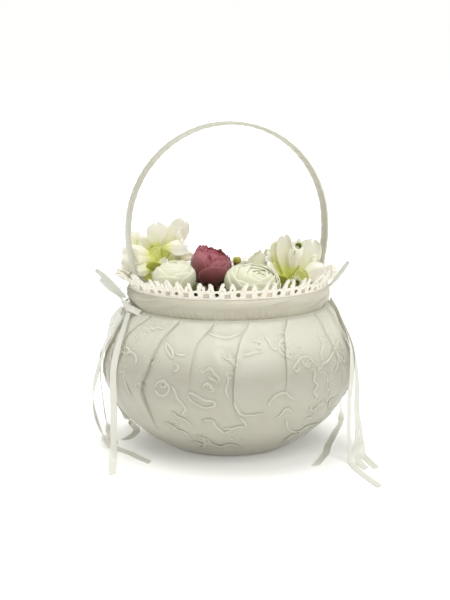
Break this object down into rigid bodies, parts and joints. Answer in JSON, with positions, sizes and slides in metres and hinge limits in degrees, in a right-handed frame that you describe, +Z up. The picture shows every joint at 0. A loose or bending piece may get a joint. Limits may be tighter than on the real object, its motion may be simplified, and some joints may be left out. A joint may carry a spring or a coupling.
{
  "type": "flower girl basket",
  "caption": "Round pleated satin basket with a hoop handle, a lace frill, ribbon bows and silk flowers that lift out of a foam block.",
  "frame": {"origin": "centre of the base disc's underside, where the basket stands", "axes": "+Z up; the hoop handle stands in the XZ plane, with its feet at -X and +X; -Y is the front"},
  "size_m": [0.232, 0.2616, 0.266],
  "materials": {
    "base_card": "fabric-covered card",
    "shell_board": "moulded pulp board",
    "wadding": "loose polyester wadding",
    "satin": "ivory satin with raised scroll work",
    "lining_satin": "smooth ivory satin",
    "band_satin": "ivory satin, rolled and gathered",
    "lace": "cream guipure beading lace",
    "strap_plastic": "extruded strap",
    "wrap_satin": "ivory satin ribbon, wound",
    "rivet": "plain",
    "ribbon": "ivory satin ribbon",
    "floral_foam": "dry floral foam",
    "burgundy_petal": "silk petal",
    "pale_green_petal": "silk petal",
    "white_petal": "silk petal",
    "bud_petal": "silk bud",
    "bell_petal": "silk floret",
    "stem_green": "wire stem in floral tape"
  },
  "bodies": {
    "basket": {"base_disc": "base_card", "bowl_shell": "shell_board", "wadding": "wadding", "cover": "satin", "lining": "lining_satin", "neck_band": "band_satin", "lace_trim": "lace", "handle_core": "strap_plastic", "handle_wrap": "wrap_satin", "handle_rivet_left": "rivet", "handle_rivet_right": "rivet", "left_bow_knot": "ribbon", "right_bow_knot": "ribbon", "left_bow_loop_front": "ribbon", "left_bow_loop_back": "ribbon", "right_bow_loop_front": "ribbon", "right_bow_loop_back": "ribbon", "left_tail_1": "ribbon", "left_tail_2": "ribbon", "left_tail_3": "ribbon", "left_tail_4": "ribbon", "right_tail_1": "ribbon", "right_tail_2": "ribbon", "right_tail_3": "ribbon", "right_tail_4": "ribbon", "foam_block": "floral_foam"},
    "burgundy_ranunculus_pick": {"burgundy_ranunculus_head": "burgundy_petal", "burgundy_ranunculus_calyx": "stem_green", "burgundy_ranunculus_stem": "stem_green"},
    "left_ranunculus_pick": {"left_ranunculus_head": "pale_green_petal", "left_ranunculus_calyx": "stem_green", "left_ranunculus_stem": "stem_green"},
    "right_ranunculus_pick": {"right_ranunculus_head": "pale_green_petal", "right_ranunculus_calyx": "stem_green", "right_ranunculus_stem": "stem_green"},
    "left_hydrangea_pick": {"left_hydrangea_head": "white_petal", "left_hydrangea_calyx": "stem_green", "left_hydrangea_stem": "stem_green"},
    "right_hydrangea_pick": {"right_hydrangea_head": "white_petal", "right_hydrangea_calyx": "stem_green", "right_hydrangea_stem": "stem_green", "bell_floret_upper": "bell_petal", "bell_floret_lower": "bell_petal"},
    "back_ranunculus_left_pick": {"back_ranunculus_left_head": "pale_green_petal", "back_ranunculus_left_calyx": "stem_green", "back_ranunculus_left_stem": "stem_green"},
    "back_ranunculus_right_pick": {"back_ranunculus_right_head": "burgundy_petal", "back_ranunculus_right_calyx": "stem_green", "back_ranunculus_right_stem": "stem_green"},
    "back_hydrangea_pick": {"back_hydrangea_head": "white_petal", "back_hydrangea_calyx": "stem_green", "back_hydrangea_stem": "stem_green"},
    "bud_pick": {"bud_pick_head": "bud_petal", "bud_pick_calyx": "stem_green", "bud_pick_stem": "stem_green"}
  },
  "joints": [
    {"name": "burgundy_ranunculus_lift", "type": "slide", "parent": "basket", "child": "burgundy_ranunculus_pick", "axis": [-0.0709, 0, 0.9975], "range_m": [0, 0.045]},
    {"name": "left_ranunculus_lift", "type": "slide", "parent": "basket", "child": "left_ranunculus_pick", "axis": [-0.2561, -0.1163, 0.9596], "range_m": [0, 0.045]},
    {"name": "right_ranunculus_lift", "type": "slide", "parent": "basket", "child": "right_ranunculus_pick", "axis": [0.0263, -0.2063, 0.9781], "range_m": [0, 0.045]},
    {"name": "left_hydrangea_lift", "type": "slide", "parent": "basket", "child": "left_hydrangea_pick", "axis": [-0.2381, 0.1094, 0.9651], "range_m": [0, 0.045]},
    {"name": "right_hydrangea_lift", "type": "slide", "parent": "basket", "child": "right_hydrangea_pick", "axis": [0.2344, -0.0584, 0.9704], "range_m": [0, 0.045]},
    {"name": "back_ranunculus_left_lift", "type": "slide", "parent": "basket", "child": "back_ranunculus_left_pick", "axis": [-0.1054, 0.2212, 0.9695], "range_m": [0, 0.045]},
    {"name": "back_ranunculus_right_lift", "type": "slide", "parent": "basket", "child": "back_ranunculus_right_pick", "axis": [0.0643, 0.2366, 0.9695], "range_m": [0, 0.045]},
    {"name": "back_hydrangea_lift", "type": "slide", "parent": "basket", "child": "back_hydrangea_pick", "axis": [0.2019, 0.1413, 0.9692], "range_m": [0, 0.045]},
    {"name": "bud_lift", "type": "slide", "parent": "basket", "child": "bud_pick", "axis": [0.0571, 0.0552, 0.9968], "range_m": [0, 0.045]}
  ]
}
